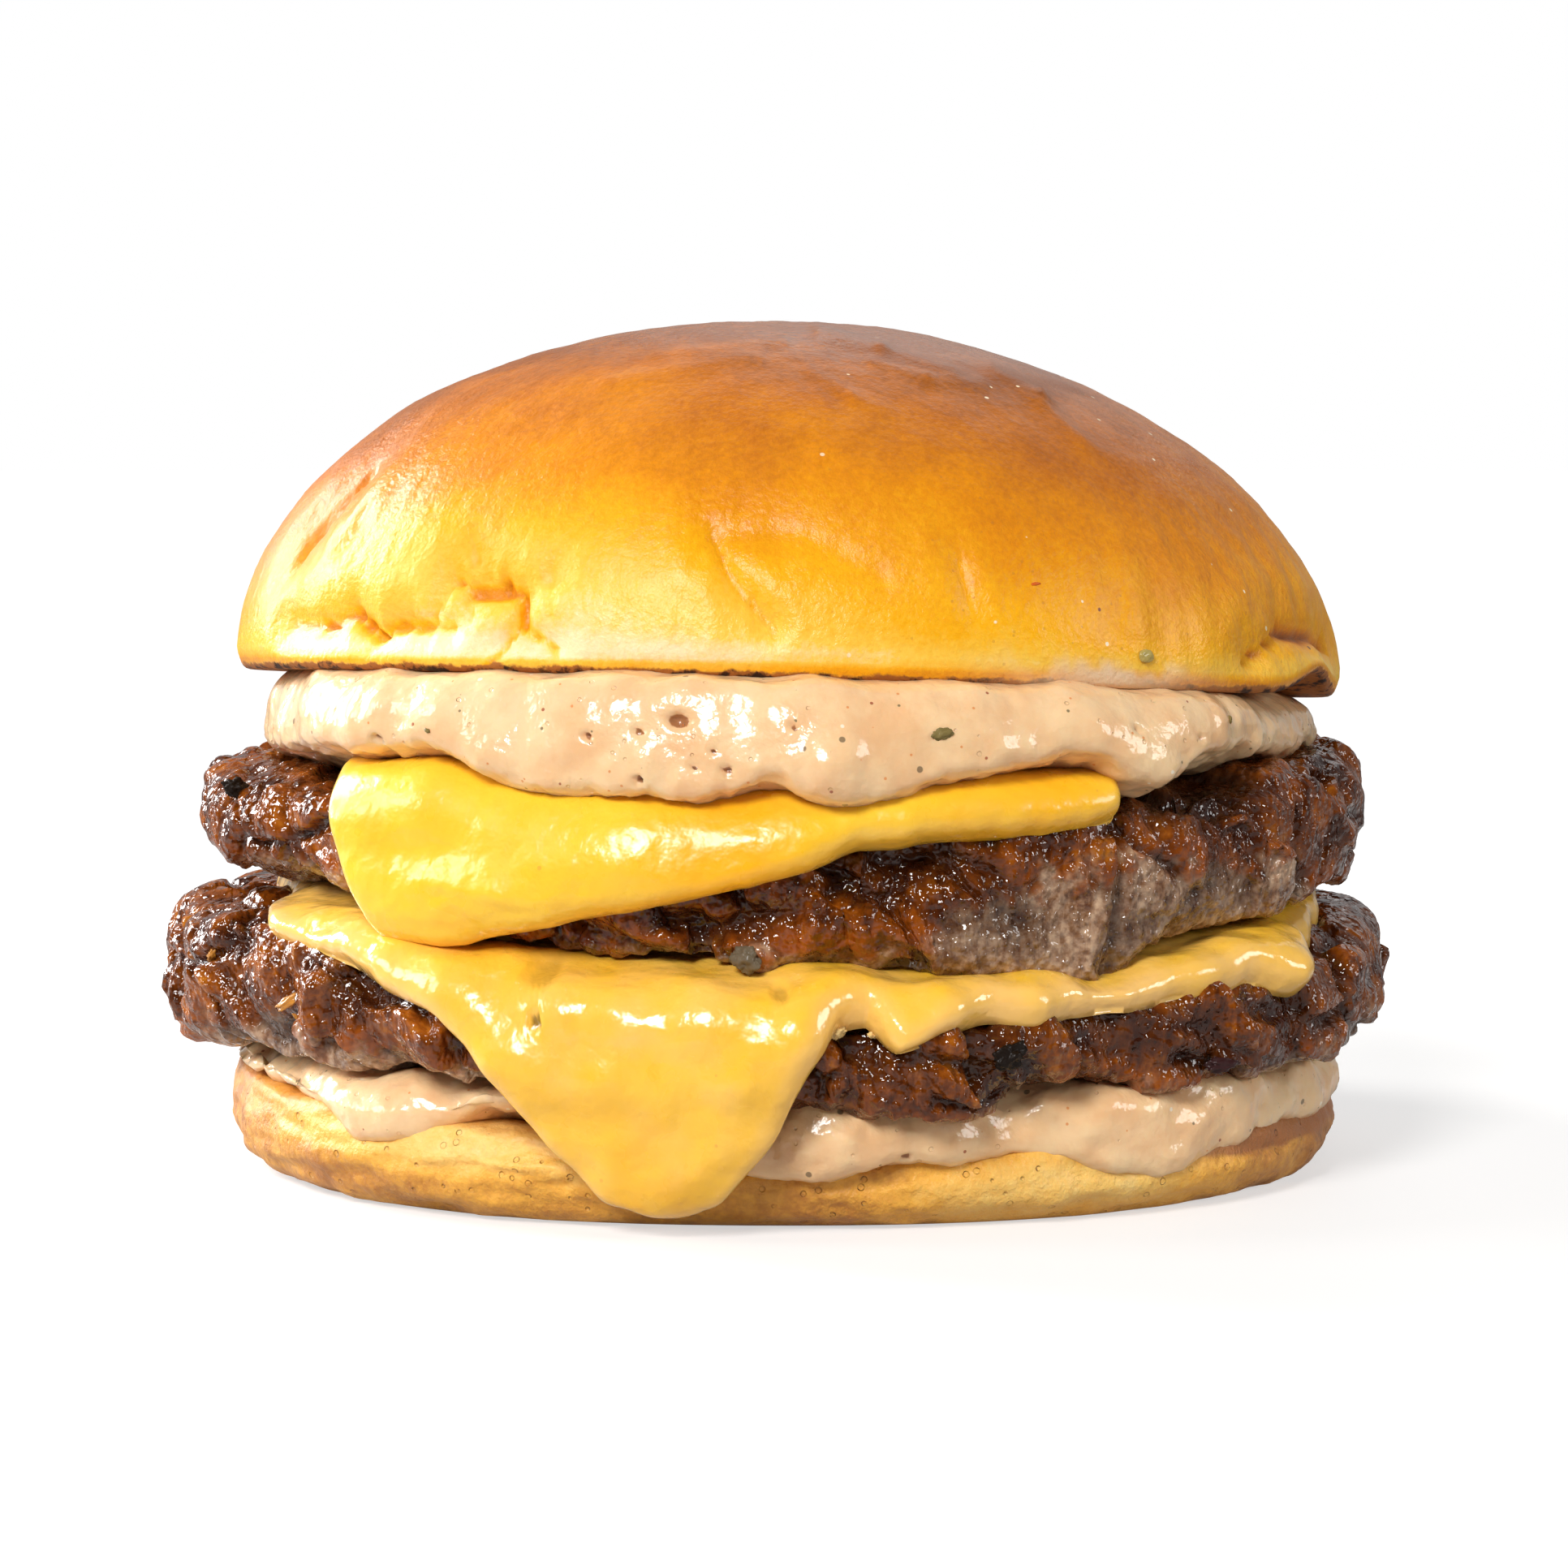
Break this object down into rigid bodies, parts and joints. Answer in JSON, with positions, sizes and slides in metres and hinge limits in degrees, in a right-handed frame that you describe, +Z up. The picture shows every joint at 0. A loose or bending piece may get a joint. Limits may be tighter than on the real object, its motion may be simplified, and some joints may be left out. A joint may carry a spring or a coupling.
{
  "type": "cheeseburger",
  "caption": "Double cheeseburger in a glazed brioche bun, with browned beef patties, melted cheese and sauce squeezed out at the sides.",
  "frame": {"origin": "centre of the flat foot of the lower bun, on the table", "axes": "+Z up, the shown side faces -Y, +X to the right as seen from there"},
  "size_m": [0.1215, 0.1225, 0.0813],
  "materials": {
    "crown_crust": "glazed golden brioche crust, browner on top and yellow low at the front",
    "heel_crumb": "soft satin bun side with pale torn bands",
    "beef": "dark seared mince crust, wet with fat, greyer below",
    "cheese": "melted satin yellow cheese",
    "sauce": "glossy pinkish beige sauce with small bubbles and specks"
  },
  "bodies": {
    "root": {"heel_bun": "heel_crumb", "lower_sauce": "sauce", "lower_patty": "beef", "lower_cheese": "cheese", "upper_patty": "beef", "upper_cheese": "cheese", "upper_sauce": "sauce", "crown_bun": "crown_crust"}
  },
  "joints": []
}
